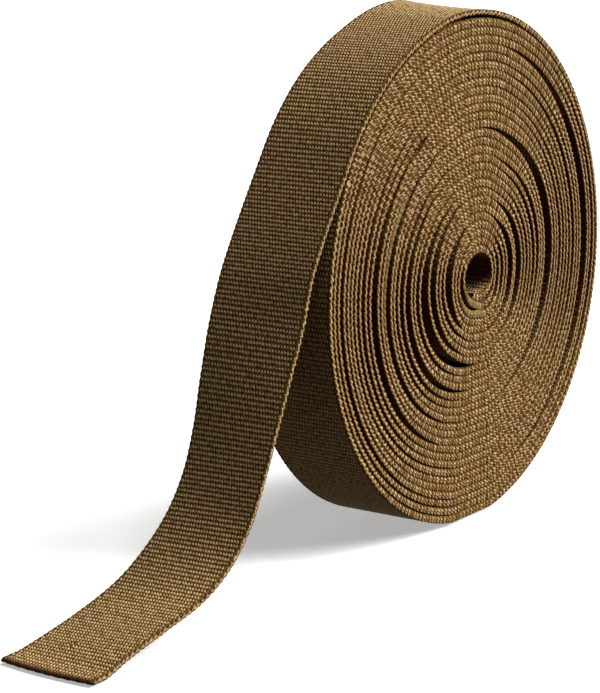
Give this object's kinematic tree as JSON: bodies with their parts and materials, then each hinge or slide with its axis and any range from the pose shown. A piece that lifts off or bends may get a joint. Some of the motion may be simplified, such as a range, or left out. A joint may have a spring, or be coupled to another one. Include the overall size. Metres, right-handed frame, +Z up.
{
  "type": "roll of nylon webbing",
  "caption": "Roll of flat woven nylon webbing standing on its rim, its outer end pulled off and lying on the surface.",
  "frame": {"origin": "on the surface, under the middle of the roll, where its flat spot rests", "axes": "+Z up, Y along the roll's axis, -X the way the loose end runs out"},
  "size_m": [0.2126, 0.0252, 0.1276],
  "materials": {
    "wound_webbing": "woven nylon, seen mostly at its edges, coyote brown",
    "loose_webbing": "woven nylon, coyote brown, its cut end sealed dark by heat"
  },
  "bodies": {
    "root": {"wound_roll": "wound_webbing", "loose_end": "loose_webbing"}
  },
  "joints": []
}
